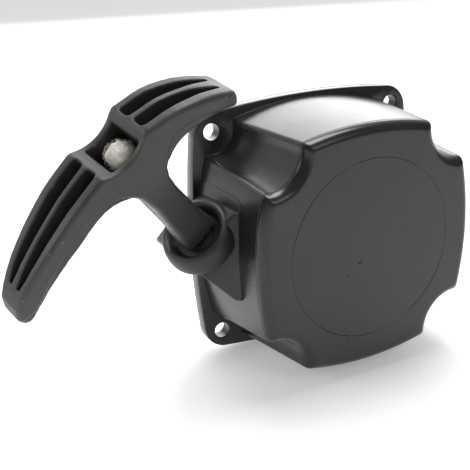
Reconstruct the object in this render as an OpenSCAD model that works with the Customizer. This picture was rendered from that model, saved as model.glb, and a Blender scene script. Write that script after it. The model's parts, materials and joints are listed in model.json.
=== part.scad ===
// Recoil starter for a small two-stroke engine: cup housing with a square bolt flange,
// rope reel with a spiral spring and two drive pawls, and a T-handle seated in the rope horn.
// Frame: origin at the centre of the bolt pattern on the mounting face, X right, Z up,
// the cup's front towards -Y. Inner pieces are drawn in a depth frame (see to_front).

/* [Mounting flange] */
// Distance between neighbouring bolt holes
bolt_pitch = 77; // [74:0.1:93]
// Diameter of a bolt hole
bolt_hole_d = 6; // [4:0.1:8]
// How far the flange reaches past the bolt centres, near its corners
flange_margin = 7; // [6:0.5:12]
// How far the middle of each flange side stands out past its corners
flange_bulge = 2.1; // [0.5:0.1:4]
// Radius of the flange corners
flange_corner_r = 9.5; // [5:0.5:12]
// Thickness of the flange
flange_t = 5.3; // [3:0.1:8]

/* [Cup] */
// Depth of the cup from the mounting face to its front face
cup_depth = 47; // [46:0.5:60]
// How far the cup wall stands inside the flange edge, at the middle of a side
cup_inset = 1.2; // [0.5:0.1:4]
// How far each wall leans in over the depth of the cup
cup_draft = 3.2; // [1:0.1:5]
// Radius of the bulge of each side wall
side_r = 110; // [90:5:200]
// Wall thickness of the cup
wall = 2.8; // [2:0.1:4]
// Radius of the bolt scallop at the flange
scallop_rear_r = 7.6; // [6.5:0.1:9]
// Radius of the bolt scallop at the front face
scallop_front_r = 13; // [10:0.5:15]
// Width of each of the two bands round the front edge
edge_band = 2.3; // [1:0.1:3]

/* [Rope horn] */
// How far the rope horn's mouth stands out past the flange edge
horn_reach = 8.4; // [6:0.2:14]
// Depth of the horn's mouth centre, from the mounting face
horn_depth = 23.6; // [21:0.2:26]
// Height of the horn's mouth centre over the reel axis
horn_height = 11.5; // [8:0.5:14]
// Angle of the rope over the side direction, seen from the front
horn_rise = 49.5; // [40:0.5:55]
// Lean of the rope towards the front
horn_lean = 21; // [10:1:25]
// Radius of the crest of the horn's rim
mouth_r = 10.7; // [9:0.1:13]
// Width of the rim, from its crest to the outside of the horn
rim_w = 2.5; // [1.5:0.1:3.5]
// Height of the rim's rounded side
rim_drop = 6.4; // [4:0.1:8]
// Depth of the dish inside the rim
dish_depth = 3.6; // [2:0.1:5]
// Depth of the block that carries the horn, where it meets the wall
block_depth = 33; // [30:0.5:36]
// How far the block's front face draws back for each mm outwards
block_taper = 0.49; // [0.2:0.01:0.6]

/* [Rope and reel] */
// Diameter of the rope
rope_d = 3.2; // [2.5:0.1:4]
// Outer radius of the reel's discs
reel_r = 35; // [33:0.5:37]
// Radius of the reel's rope groove at its floor
groove_r = 21.5; // [20:0.5:24]
// Width of the rope groove
groove_w = 9.6; // [7:0.1:11]
// Outer radius of the wound rope
coil_r = 29.6; // [27:0.2:31]
// Thickness of the reel's discs
disc_t = 2; // [1.5:0.1:2.6]
// Depth of the reel's rear face
reel_rear = 14.4; // [14:0.1:16]
// Radius of the centre post
post_r = 6; // [5:0.1:7]
// Wall thickness of the steel sleeve on the post
sleeve_t = 1; // [0.6:0.1:1.5]
// Radial clearance of a running fit
run_gap = 0.05; // [0.02:0.01:0.1]
// Gap between pieces that pass each other
gap = 0.4; // [0.3:0.05:0.6]

/* [Recoil spring] */
// Outer radius of the spring case
case_r = 33.4; // [31:0.2:35]
// Sheet thickness of the spring case
case_t = 0.8; // [0.5:0.1:1.2]
// Thickness of the spring strip
strip_t = 0.5; // [0.3:0.1:0.7]
// Turns of the spring strip
spring_turns = 9; // [6:1:11]

/* [Pawls and brake] */
// Distance of each pawl's pivot from the reel axis
pivot_r = 15.2; // [14.8:0.1:15.6]
// Radius of a pawl's pivot pin
pivot_pin_r = 2.2; // [1.6:0.1:2.5]
// Radius of a pawl round its pivot
pawl_boss_r = 4; // [3.6:0.1:4.5]
// Length of a pawl from its pivot to its tip
pawl_len = 17; // [14:0.5:18]
// Thickness of a pawl
pawl_t = 3.6; // [2.5:0.1:4]
// Angle through which a pawl swings out
pawl_swing = 24; // [15:1:26]
// Angle through which the guide plate lags behind the reel
guide_lag = 30; // [20:1:35]
// Thickness of the guide plate
guide_t = 1.2; // [0.8:0.1:1.5]
// Radius of the centre screw's shank
screw_r = 2.5; // [2:0.1:3]

/* [Handle] */
// Height of the handle from the stem's tip plane to its shoulders
handle_h = 54; // [50:0.5:65]
// Length of the long wing from the rope axis
long_wing = 54.5; // [40:0.5:60]
// Length of the short wing from the rope axis
short_wing = 37.5; // [30:0.5:50]
// Half thickness of the handle at its middle
grip_half = 9.2; // [8.6:0.1:11]
// Half thickness of the handle halfway along a wing
mid_half = 8.4; // [7.5:0.1:9]
// Half thickness of the handle at the wing tips
tip_half = 5.5; // [4.5:0.1:7]
// Depth of a wing at its root
wing_root = 11.4; // [9:0.1:14]
// Depth of a wing at its tip
wing_tip = 7; // [5:0.1:10]
// Half width of the knot pocket along the wings
pocket_w = 5.9; // [5.4:0.1:7]
// Half width of the knot pocket across the handle
pocket_n = 6.8; // [5.4:0.1:7]
// Depth of the knot pocket below the shoulders
pocket_depth = 12; // [10:0.2:12.4]
// Half width of the stem at its neck
neck_half = 4.8; // [4:0.1:6]
// Half width of the stem at its tip
stem_half = 6.8; // [5.5:0.1:7.5]
// Half thickness of the stem
stem_n = 4.6; // [3.6:0.1:5.5]
// Width of a grip slot at its inner end
slot_w = 3.9; // [2.5:0.1:3.9]
// Depth of the grip slots
slot_depth = 5.5; // [3:0.1:7]
// Radius of the knot on the handle's end of the rope
knot_r = 4.9; // [4:0.1:5.2]

/* [Hidden] */
$fn = 96;

eps = 0.01;
join = 1;
far = 300;
quarter = 90;

// Flange and cup, measured from the axis
bolt_half = bolt_pitch / 2;
flange_corner = bolt_half + flange_margin;
flange_half = flange_corner + flange_bulge;
cup_half = flange_half - cup_inset;
inner_depth = cup_depth - wall;

// Rope horn: the mouth's centre and the pull frame, whose Z is the way the rope is pulled
mouth = [-(flange_half + horn_reach), -horn_depth, horn_height];
horn_tilt = horn_rise - quarter;
pull_dir = [-cos(horn_lean) * cos(horn_rise), -sin(horn_lean), cos(horn_lean) * sin(horn_rise)];
horn_r = mouth_r + rim_w;
bell_step = 0.9;
bell_back = 2;
neck_r = 10;
neck_len = 14;
throat_r = 3.6;
eyelet_flange_r = 5.6;
eyelet_len = 9;
eyelet_t = 1;
funnel_len = 14;
funnel_r = 7;
// The block under the horn: a wedge whose lower face runs along the rope
block_reach = 13.2;
block_height = 1.5;
block_low = -14;
block_sink = 3;
block_wall = 3.7;
wedge_apex = [-(flange_half + block_reach), block_height];
wedge_low = [wedge_apex[0] + block_height - block_low, block_low];
wedge_top = [-(flange_half - block_sink), block_height + block_reach + block_sink];
block_plan_x = -(flange_half - block_wall);
block_out_x = wedge_apex[0] - 1;
wedge_inside = -(cup_half - wall - 4);
case_rib_t = 1.6;
case_rib_h = 5;

// Reel and its neighbours: depths from the mounting face
sleeve_r = post_r + sleeve_t;
bore_r = sleeve_r + run_gap;
groove_rear = reel_rear + disc_t;
groove_front = groove_rear + groove_w;
reel_front = groove_front + disc_t;
case_rear = reel_front + 1;
spring_rear = case_rear + 1.2;
spring_front = inner_depth - case_t - gap;
arbor_r = 10;
case_hole_r = sleeve_r + 2;
hub_rear = 10.4;
hub_r = 10.6;
recess_r = groove_r - 1.8;
recess_depth = groove_front - 1.5;
reel_knot_r = (recess_r - hub_r) / 2 - 0.3;
reel_knot_depth = recess_depth - reel_knot_r - gap / 2;
washer_t = 0.9;
brake_room = 0.8;
brake_w = 2.4;
guide_front = hub_rear - washer_t - gap * 3 / 4;
guide_rear = guide_front - guide_t;
post_rear = guide_rear - brake_room;
screw_washer_t = 1.2;
screw_washer_r = 9.5;
head_t = 3.2;
head_r = 5;
screw_len = 22;
screw_room = 2;
guide_r = 21.4;

// Pawls
pawl_front = reel_rear - 0.2;
pawl_rear = pawl_front - pawl_t;
peg_r = 1.3;
peg_at = [-0.5, -6];
peg_past = 0.2;
pin_rear = guide_front + 0.3;
coil_wire_r = 0.22;
coil_clear = 0.25;
pawl_tip_w = 4;

// Wound rope and the strand's route: from the coil through the eyelet up to the knot
coil_mid = (groove_rear + groove_front) / 2;
strand_r = coil_r + rope_d / 2 + gap / 2;
entry_back = 21;
entry = mouth - pull_dir * entry_back;
entry_dist = norm([entry[0], entry[2]]);
entry_angle = atan2(entry[2], entry[0]);
touch_angle = entry_angle + acos(strand_r / entry_dist);
touch = [strand_r * cos(touch_angle), -coil_mid, strand_r * sin(touch_angle)];
knot_s = handle_h - pocket_depth + knot_r + gap / 2;
strand_end = knot_s - knot_r - gap / 4;

// Spreads children written with X right, Y up and Z towards the cup's front
module to_front() { rotate([quarter, 0, 0]) children(); }

// Places children written in the pull frame: Z along the rope, X along the handle's short wing
module to_pull() {
    translate(mouth) rotate([0, horn_tilt, 0]) rotate([horn_lean, 0, 0]) children();
}

module ring(r_in, r_out, z0, z1) {
    translate([0, 0, z0]) difference() {
        cylinder(r = r_out, h = z1 - z0);
        translate([0, 0, -eps]) cylinder(r = r_in, h = z1 - z0 + 2 * eps);
    }
}

module at_bolts() {
    for (x = [-bolt_half, bolt_half], y = [-bolt_half, bolt_half]) translate([x, y, 0]) children();
}

// ---- Housing ----

// Flange outline: corner arcs joined by gently bulged sides
function flange_side(k) = [for (i = [-6:5])
    let (y = (flange_corner - flange_corner_r) * i / 6,
         x = flange_half - flange_bulge * pow(i / 6, 2))
    [x * cos(k) - y * sin(k), x * sin(k) + y * cos(k)]];
function flange_arc(k) = [for (i = [0:7])
    let (c = flange_corner - flange_corner_r, a = quarter * i / 8,
         x = c + flange_corner_r * cos(a), y = c + flange_corner_r * sin(a))
    [x * cos(k) - y * sin(k), x * sin(k) + y * cos(k)]];
function flange_points() = [for (k = [0:quarter:270]) each concat(flange_side(k), flange_arc(k))];

function draft_at(z) = cup_draft * z / cup_depth;
function scallop_at(z) = scallop_rear_r + (scallop_front_r - scallop_rear_r) * z / cup_depth;

// One slab of the cup's outer form, shrunk by in0 at depth z0 and by in1 at depth z1
module cup_slab(z0, z1, in0, in1) {
    difference() {
        intersection_for (k = [0:quarter:270])
            rotate([0, 0, k]) translate([cup_half - side_r, 0, z0])
                cylinder(r1 = side_r - draft_at(z0) - in0, r2 = side_r - draft_at(z1) - in1,
                    h = z1 - z0, $fn = 240);
        at_bolts() translate([0, 0, z0 - eps])
            cylinder(r1 = scallop_at(z0) + in0, r2 = scallop_at(z1) + in1, h = z1 - z0 + 2 * eps);
    }
}

module cup_outside() {
    band_1 = cup_depth - edge_band * 1.7;
    band_2 = cup_depth - edge_band * 0.5;
    cup_slab(0, band_1, 0, 0);
    cup_slab(band_1, band_2, 0, edge_band * 0.45);
    cup_slab(band_2, cup_depth, edge_band * 0.45, edge_band * 1.4);
}

// The room inside the cup, open at the mounting face
module cup_inside() { translate([0, 0, -eps]) cup_slab(0, inner_depth + eps, wall, wall); }

// The wedge-shaped block on the side wall that carries the rope horn, narrower outwards
module horn_block() {
    intersection() {
        to_front() linear_extrude(block_depth) polygon([
            [wedge_inside, wedge_low[1]], wedge_low, wedge_apex, wedge_top, [wedge_inside, wedge_top[1]]]);
        translate([0, 0, -far / 2]) linear_extrude(far) polygon([
            [wedge_inside, 0], [block_out_x, 0],
            [block_out_x, -block_depth + block_taper * (block_plan_x - block_out_x)],
            [block_plan_x, -block_depth], [wedge_inside, -block_depth]]);
    }
}

// The horn's bell: a collar with a rounded side, on a neck that goes down into the block
module horn_bell() {
    side = [for (a = [0:15:quarter]) [mouth_r + rim_w * sin(a), -rim_drop * (1 - cos(a))]];
    to_pull() rotate_extrude() polygon(concat([[0, 0]], side,
        [[horn_r - bell_step, -rim_drop - bell_back], [neck_r, -rim_drop - bell_back], [neck_r, -neck_len],
        [0, -neck_len]]));
}

// The dish that the stem sits in, the eyelet's seat and the rope's way through the wall
module horn_bore() {
    to_pull() {
        translate([0, 0, -dish_depth])
            cylinder(r1 = stem_half + 1, r2 = mouth_r + eps, h = dish_depth + eps);
        translate([0, 0, -dish_depth - eyelet_t]) cylinder(r = eyelet_flange_r, h = far);
        translate([0, 0, -dish_depth - eyelet_len]) cylinder(r = throat_r, h = eyelet_len);
        translate([0, 0, -dish_depth - eyelet_len - funnel_len])
            cylinder(r1 = funnel_r, r2 = throat_r - eyelet_t, h = funnel_len + eps);
    }
}

module housing() {
    color([0.1, 0.1, 0.105]) difference() {
        union() {
            to_front() difference() {
                union() {
                    linear_extrude(flange_t) polygon(flange_points());
                    cup_outside();
                }
                cup_inside();
            }
            difference() {
                union() {
                    horn_block();
                    horn_bell();
                }
                to_front() cup_inside();
            }
            to_front() translate([0, 0, post_rear])
                cylinder(r = post_r, h = inner_depth - post_rear + join);
            to_front() ring(case_r + 2 * run_gap, case_r + case_rib_t,
                inner_depth - case_rib_h, inner_depth + join);
        }
        horn_bore();
        to_front() at_bolts() translate([0, 0, -eps]) cylinder(d = bolt_hole_d, h = flange_t + 2 * eps);
        to_front() translate([0, 0, post_rear - eps]) cylinder(r = screw_r, h = screw_len + screw_room);
    }
}

// Steel eyelet pressed into the horn's throat
module rope_eyelet() {
    color([0.62, 0.62, 0.6]) to_pull() difference() {
        union() {
            translate([0, 0, -dish_depth - eyelet_t]) cylinder(r = eyelet_flange_r, h = eyelet_t);
            translate([0, 0, -dish_depth - eyelet_len]) cylinder(r = throat_r, h = eyelet_len);
        }
        translate([0, 0, -dish_depth - eyelet_len - eps])
            cylinder(r = throat_r - eyelet_t, h = eyelet_len + 2 * eps);
    }
}

// ---- Spring ----

module spring_case() {
    color([0.7, 0.7, 0.7]) to_front() {
        ring(case_r - case_t, case_r, case_rear, inner_depth);
        ring(case_hole_r, case_r - case_t + eps, inner_depth - case_t, inner_depth);
    }
}

// Spiral strip from the reel's arbor out to the case, its turns crowding towards the outside
spring_in = arbor_r + 0.6;
spring_out = case_r - case_t - strip_t - gap;
function spring_r(t) = spring_in + (spring_out - spring_in) * pow(t, 0.62);
spring_steps = spring_turns * 24;
function spring_side(off) = [for (i = [0:spring_steps])
    let (t = i / spring_steps, a = 360 * spring_turns * t, r = spring_r(t) + off)
    [r * cos(a), r * sin(a)]];
function backwards(list) = [for (i = [len(list) - 1:-1:0]) list[i]];

module recoil_spring() {
    color([0.45, 0.5, 0.55]) to_front() translate([0, 0, spring_rear])
        linear_extrude(spring_front - spring_rear)
            polygon(concat(spring_side(0), backwards(spring_side(strip_t))));
}

// ---- Reel ----

module centre_sleeve() {
    color([0.75, 0.75, 0.72]) to_front() ring(post_r, sleeve_r, post_rear, inner_depth);
}

module at_pivots() {
    for (k = [0, 180]) rotate([0, 0, k]) translate([pivot_r, 0, 0]) children();
}

module reel() {
    color([0.83, 0.82, 0.78]) to_front() difference() {
        union() {
            ring(bore_r, reel_r, reel_rear, groove_rear);
            ring(bore_r, reel_r, groove_front, reel_front);
            ring(bore_r, groove_r, reel_rear, reel_front);
            ring(bore_r, hub_r, hub_rear, reel_rear + join);
            ring(bore_r, arbor_r, reel_front - join, spring_front);
            at_pivots() translate([0, 0, pin_rear])
                cylinder(r = pivot_pin_r, h = reel_rear - pin_rear + join);
        }
        difference() {
            ring(hub_r, recess_r, reel_rear - eps, recess_depth);
            at_pivots() translate([0, 0, reel_rear - join]) cylinder(r = pawl_boss_r, h = recess_depth);
        }
        rotate([0, 0, quarter]) translate([recess_r - join, 0, reel_knot_depth]) rotate([0, quarter, 0])
            cylinder(r = rope_d / 2 + gap / 2, h = groove_r - recess_r + 2 * join);
    }
}

module rope_coil() {
    color([0.85, 0.82, 0.7]) to_front() ring(groove_r, coil_r, groove_rear + gap, groove_front - gap);
}

module reel_knot() {
    knot_at = (hub_r + recess_r) / 2;
    color([0.85, 0.82, 0.7]) to_front() rotate([0, 0, quarter])
        translate([knot_at, 0, reel_knot_depth]) {
            sphere(r = reel_knot_r, $fn = 32);
            rotate([0, quarter, 0]) cylinder(r = rope_d / 2, h = groove_r - knot_at - eps);
        }
}

// Points of the strand: tangent off the coil, a soft bend at the eyelet, then along the pull axis
strand_route = concat(
    [for (t = [0, 0.3, 0.6, 0.85]) touch + (entry - touch) * t],
    [for (t = [0.1, 0.3, 0.6, 1]) entry + pull_dir * entry_back * t],
    [for (t = [0.25, 0.5, 0.75, 1]) mouth + pull_dir * strand_end * t]);
function unit(v) = v / norm(v);
function heading(i) = unit(strand_route[min(i + 1, len(strand_route) - 1)] - strand_route[max(i - 1, 0)]);
strand_sides = 8;
side_axis = [sin(horn_rise), 0, cos(horn_rise)];
function strand_ring(i) =
    let (d = heading(i), u = unit(side_axis - d * (side_axis * d)), v = cross(d, u))
    [for (k = [0:strand_sides - 1])
        let (a = 360 * k / strand_sides) strand_route[i] + (u * cos(a) + v * sin(a)) * rope_d / 2];

module rope_strand() {
    n = strand_sides;
    rows = len(strand_route);
    color([0.85, 0.82, 0.7]) polyhedron(
        points = [for (i = [0:rows - 1]) each strand_ring(i)],
        faces = concat(
            [[for (k = [0:n - 1]) k]],
            [for (i = [0:rows - 2], k = [0:n - 1])
                [i * n + k, (i + 1) * n + k, (i + 1) * n + (k + 1) % n, i * n + (k + 1) % n]],
            [[for (k = [n - 1:-1:0]) (rows - 1) * n + k]]));
}

// ---- Handle ----

module handle_knot() {
    color([0.93, 0.9, 0.8]) to_pull() translate([0, 0, knot_s]) sphere(r = knot_r, $fn = 48);
}

// The handle's outline: shoulders, then wings that fall away along a parabola
shoulder = 9.3;
long_fall = [0.06, 0.0053];
short_fall = [0.2, 0.0163];
function fall(w, k) = k[0] * (w - shoulder) + k[1] * pow(w - shoulder, 2);
function wing_depth(w, len) = wing_root + (wing_tip - wing_root) * (w - shoulder) / (len - shoulder);
wing_steps = 14;
root_r = 5;
edge_r = 1.2;
plan_r = 2;
// The stem, from the wings down to its rounded end in the horn's dish
stem_end = -dish_depth + gap;
neck_s = 25;
waist_s = [3, 0];
end_half = stem_half - 4;
swell_from = 2;
swell_to = 43;
function stem_side(side) = [[side * neck_half, handle_h - wing_root], [side * neck_half, neck_s],
    [side * stem_half, waist_s[0]], [side * stem_half, waist_s[1]], [side * end_half, stem_end]];
function wing_top(len, k, side) = [for (i = [0:wing_steps])
    let (w = shoulder + (len - shoulder) * i / wing_steps) [side * w, handle_h - fall(w, k)]];
function wing_under(len, k, side) = [for (i = [0:wing_steps])
    let (w = shoulder + (len - shoulder - 1) * i / wing_steps)
    [side * w, handle_h - fall(w, k) - wing_depth(w, len)]];

module handle_side_profile() {
    offset(r = edge_r) offset(r = -edge_r) offset(r = -root_r) offset(r = root_r) union() {
        polygon(concat(
            wing_top(short_wing, short_fall, 1), backwards(wing_under(short_wing, short_fall, 1)),
            wing_under(long_wing, long_fall, -1), backwards(wing_top(long_wing, long_fall, -1))));
        polygon(concat(stem_side(-1), backwards(stem_side(1))));
    }
}

// The handle seen along its wings: a thin stem that swells smoothly into the grip
function swell(t) = t * t * (3 - 2 * t);
function share(s) = max(0, min(1, (s - swell_from) / (swell_to - swell_from)));
function handle_n(s) = stem_n + (grip_half - stem_n) * swell(share(s));
function end_side(side) = [for (s = [stem_end:4:handle_h + 4]) [side * handle_n(s), s]];

module handle_end_profile() {
    polygon(concat(end_side(-1), backwards(end_side(1))));
}

// The handle seen along the rope: thick at the middle, tapering to the wing tips
module handle_plan_profile() {
    offset(r = plan_r) offset(r = -plan_r) for (m = [-1, 1]) scale([1, m]) polygon([
        [-long_wing - 1, -eps], [-long_wing - 1, tip_half], [-(long_wing + shoulder) / 2, mid_half],
        [-shoulder, grip_half], [shoulder, grip_half], [(short_wing + shoulder) / 2, mid_half],
        [short_wing + 1, tip_half], [short_wing + 1, -eps]]);
}

// Two tapering slots along each wing, seen along the rope
module slot_plan(len, side) {
    slot_in = shoulder + 0.9;
    slot_out = len - 4.5;
    slot_n_in = grip_half * 0.42;
    slot_n_out = tip_half * 0.4;
    for (m = [-1, 1]) scale([side, m]) polygon([
        [slot_in, slot_n_in - slot_w / 2], [slot_out, slot_n_out - slot_w / 4],
        [slot_out, slot_n_out + slot_w / 4], [slot_in, slot_n_in + slot_w / 2]]);
}

module slot_band(len, k, side) {
    top = wing_top(len, k, side);
    polygon(concat([for (p = top) p + [0, 2 * edge_r]], backwards([for (p = top) p - [0, slot_depth]])));
}

module grip_slots(len, k, side) {
    intersection() {
        linear_extrude(handle_h + 2 * edge_r) slot_plan(len, side);
        rotate([quarter, 0, 0]) translate([0, 0, -grip_half])
            linear_extrude(2 * grip_half) slot_band(len, k, side);
    }
}

module handle() {
    arch_r = 13;
    arch_sag = 3.2;
    span = short_wing + long_wing + 2 * stem_half;
    color([0.17, 0.165, 0.16]) to_pull() difference() {
        intersection() {
            rotate([quarter, 0, 0]) translate([0, 0, -grip_half])
                linear_extrude(2 * grip_half) handle_side_profile();
            translate([0, 0, stem_end]) linear_extrude(handle_h - stem_end) handle_plan_profile();
            rotate([quarter, 0, quarter]) translate([0, 0, -span])
                linear_extrude(2 * span) handle_end_profile();
        }
        grip_slots(short_wing, short_fall, 1);
        grip_slots(long_wing, long_fall, -1);
        translate([-pocket_w, -pocket_n, handle_h - pocket_depth])
            cube([2 * pocket_w, 2 * pocket_n, far]);
        translate([0, 0, handle_h - arch_sag + arch_r]) rotate([quarter, 0, 0])
            cylinder(r = arch_r, h = far, center = true);
        translate([0, 0, stem_end - join]) cylinder(r = rope_d / 2 + gap, h = far);
    }
}

// ---- Pawls, guide and brake ----

module thrust_washer() {
    color([0.8, 0.8, 0.78]) to_front()
        ring(bore_r, hub_r - gap, hub_rear - washer_t, hub_rear - gap / 4);
}

// A pawl lies inside the reel's rim at rest, its pivot at the origin, pointing the way it is driven
module pawl_shape() {
    difference() {
        union() {
            translate([0, 0, pawl_rear]) cylinder(r = pawl_boss_r, h = pawl_t);
            translate([0, 0, pawl_rear]) linear_extrude(pawl_t)
                polygon([[pawl_boss_r, 0], [-pawl_boss_r, 0], [-pawl_boss_r, -pawl_len * 0.5],
                    [-pawl_tip_w, -pawl_len], [0, -pawl_len], [pawl_boss_r * 0.4, -pawl_len * 0.75]]);
            translate([peg_at[0], peg_at[1], guide_rear - peg_past])
                cylinder(r = peg_r, h = pawl_rear - guide_rear + peg_past + join, $fn = 32);
        }
        translate([0, 0, pawl_rear - eps]) cylinder(r = pivot_pin_r + run_gap, h = pawl_t + 2 * eps);
    }
}

module pawl_at(k) {
    color([0.6, 0.6, 0.62]) to_front() rotate([0, 0, k]) translate([pivot_r, 0, 0]) pawl_shape();
}
module pawl_a() { pawl_at(0); }
module pawl_b() { pawl_at(180); }

// Two turns of wire round each pivot pin, between its pawl and the guide plate
module pawl_spring_at(k) {
    color([0.5, 0.5, 0.52]) to_front() rotate([0, 0, k]) translate([pivot_r, 0, 0])
        for (i = [0, 1])
            translate([0, 0, pawl_rear - coil_clear - coil_wire_r - i * coil_wire_r * 1.8])
                rotate_extrude($fn = 48) translate([pivot_pin_r + coil_wire_r + coil_clear, 0])
                    circle(r = coil_wire_r, $fn = 16);
}
module pawl_spring_a() { pawl_spring_at(0); }
module pawl_spring_b() { pawl_spring_at(180); }

// Where a pawl's peg stands in the guide plate when the plate has lagged by the share t
function turned(v, a) = [v[0] * cos(a) - v[1] * sin(a), v[0] * sin(a) + v[1] * cos(a)];
function peg_spot(t) = turned([pivot_r, 0] + turned(peg_at, pawl_swing * t), -guide_lag * t);

module pawl_guide() {
    color([0.78, 0.78, 0.8]) to_front() difference() {
        ring(bore_r, guide_r, guide_rear, guide_front);
        for (k = [0, 180]) rotate([0, 0, k]) hull() {
            for (t = [0, 0.5, 1]) translate([peg_spot(t)[0], peg_spot(t)[1], guide_rear - join])
                cylinder(r = peg_r + gap, h = guide_t + 2 * join, $fn = 32);
        }
    }
}

module brake_spring() {
    color([0.55, 0.55, 0.58]) to_front()
        ring(sleeve_r + gap / 2, sleeve_r + brake_w, post_rear + gap / 4, guide_rear - gap / 4);
}

module screw_washer() {
    color([0.8, 0.8, 0.8]) to_front()
        ring(screw_r + gap / 4, screw_washer_r, post_rear - screw_washer_t, post_rear);
}

module centre_screw() {
    head_front = post_rear - screw_washer_t;
    slot_l = head_r * 1.2;
    slot_t = head_r * 0.24;
    slot_d = head_t * 0.55;
    color([0.7, 0.7, 0.72]) to_front() difference() {
        union() {
            translate([0, 0, head_front - head_t]) cylinder(r = head_r, h = head_t);
            translate([0, 0, head_front - eps]) cylinder(r = screw_r - run_gap, h = screw_len);
        }
        for (k = [0, quarter]) rotate([0, 0, k])
            translate([-slot_l / 2, -slot_t / 2, head_front - head_t - eps]) cube([slot_l, slot_t, slot_d]);
    }
}

housing();
rope_eyelet();
spring_case();
recoil_spring();
centre_sleeve();
reel();
rope_coil();
reel_knot();
rope_strand();
handle_knot();
handle();
thrust_washer();
pawl_a();
pawl_b();
pawl_spring_a();
pawl_spring_b();
pawl_guide();
brake_spring();
screw_washer();
centre_screw();
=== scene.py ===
import json
import math

import bmesh
import bpy
import numpy as np
from mathutils import Matrix, Vector

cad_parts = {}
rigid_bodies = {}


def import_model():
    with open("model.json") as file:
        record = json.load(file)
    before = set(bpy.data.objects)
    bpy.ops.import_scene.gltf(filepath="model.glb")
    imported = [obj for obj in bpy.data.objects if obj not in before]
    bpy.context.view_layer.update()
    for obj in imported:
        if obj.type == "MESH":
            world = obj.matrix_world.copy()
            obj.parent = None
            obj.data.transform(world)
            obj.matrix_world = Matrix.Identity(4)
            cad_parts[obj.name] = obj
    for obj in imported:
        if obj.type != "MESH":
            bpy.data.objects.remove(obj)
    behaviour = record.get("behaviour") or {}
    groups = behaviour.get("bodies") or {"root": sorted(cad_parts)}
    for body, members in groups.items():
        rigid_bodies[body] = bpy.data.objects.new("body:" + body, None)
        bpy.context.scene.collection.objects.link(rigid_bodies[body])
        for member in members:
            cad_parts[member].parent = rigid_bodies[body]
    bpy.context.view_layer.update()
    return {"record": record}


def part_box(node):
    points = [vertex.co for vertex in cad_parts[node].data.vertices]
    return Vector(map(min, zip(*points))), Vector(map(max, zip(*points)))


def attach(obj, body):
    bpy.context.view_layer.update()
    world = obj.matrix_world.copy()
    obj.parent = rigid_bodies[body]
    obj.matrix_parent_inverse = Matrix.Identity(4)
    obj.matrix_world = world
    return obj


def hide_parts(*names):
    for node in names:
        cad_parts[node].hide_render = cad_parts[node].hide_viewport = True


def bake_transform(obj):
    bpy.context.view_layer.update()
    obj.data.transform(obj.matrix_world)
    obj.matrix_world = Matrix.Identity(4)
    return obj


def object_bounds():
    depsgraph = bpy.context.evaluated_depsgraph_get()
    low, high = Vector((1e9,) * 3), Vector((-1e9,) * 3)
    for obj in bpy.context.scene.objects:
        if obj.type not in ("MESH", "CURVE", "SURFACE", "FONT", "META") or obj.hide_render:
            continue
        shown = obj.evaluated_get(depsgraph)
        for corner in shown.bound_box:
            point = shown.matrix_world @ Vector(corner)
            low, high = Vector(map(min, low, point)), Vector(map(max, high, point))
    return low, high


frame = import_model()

MM = 0.001

# ---------------------------------------------------------------- sizes shared with the CAD, in mm
HOLES = next(m for m in frame["record"]["mounts"] if m["name"] == "bolt_holes")["dims"]
BOLT = HOLES["spacing_x_mm"] / 2
HOLE_R = HOLES["hole_r_mm"]
EAR, FLANGE_BOW = 7.0, 2.1            # flange past the bolt line at a corner; bow of its sides
FLANGE_CORNER = BOLT + EAR
FLANGE_HALF = FLANGE_CORNER + FLANGE_BOW
CORNER_R = 9.5
FLANGE_T = 5.3
CUP_STEP = 1.2                        # the flange's lip beyond the cup's wall
CUP_HALF = FLANGE_HALF - CUP_STEP
DEPTH = -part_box("housing")[0][1] / MM
DRAFT, SIDE_R, WALL = 3.2, 110.0, 2.8
SCALLOP = (7.6, 13.0)                 # scallop radius at the flange and at the front
INNER_RC = 0.8                        # corner rounding of the cavity's outline
INNER = DEPTH - WALL
POST_R, POST_REAR, SCREW_R, SCREW_END = 6.0, 7.2, 2.5, 31.2
CASE_R, RIB_T, RIB_H = 33.4, 1.6, 5.0

# The pull frame: S along the rope, W along the short wing, N towards the viewer's side of the handle
MOUTH = np.array([-56.0, -23.6, 11.5])
RISE, LEAN = math.radians(49.5), math.radians(21.0)
S = np.array([-math.cos(LEAN) * math.cos(RISE), -math.sin(LEAN), math.cos(LEAN) * math.sin(RISE)])
W = np.array([math.sin(RISE), 0.0, math.cos(RISE)])
N = np.cross(W, S)
if N[1] > 0:
    N = -N
GRIP_OFF = (0.47, -0.7, -2.77)        # the handle's own origin in the pull frame, just off the rope's line
GRIP = MOUTH + W * GRIP_OFF[0] + N * GRIP_OFF[1] + S * GRIP_OFF[2]


def pull(w, n, s):
    """A point of the pull frame (short wing, near face, rope) in the CAD frame, mm."""
    return MOUTH + W * w + N * n + S * s


def smooth(me):
    for p in me.polygons:
        p.use_smooth = True


def add_mesh(name, verts, faces):
    """A smooth-shaded object from points in mm."""
    me = bpy.data.meshes.new(name)
    me.from_pydata([tuple(v) for v in np.asarray(verts) * MM], [], [tuple(int(i) for i in f) for f in faces])
    me.validate()
    me.update()
    ob = bpy.data.objects.new(name, me)
    bpy.context.scene.collection.objects.link(ob)
    smooth(me)
    return ob


def fix_normals(ob):
    bm = bmesh.new()
    bm.from_mesh(ob.data)
    bmesh.ops.remove_doubles(bm, verts=bm.verts, dist=1e-7)
    bmesh.ops.recalc_face_normals(bm, faces=bm.faces)
    bm.to_mesh(ob.data)
    bm.free()


def apply_mods(ob):
    bpy.context.view_layer.update()
    dg = bpy.context.evaluated_depsgraph_get()
    me = bpy.data.meshes.new_from_object(ob.evaluated_get(dg))
    ob.modifiers.clear()
    ob.data = me


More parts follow.
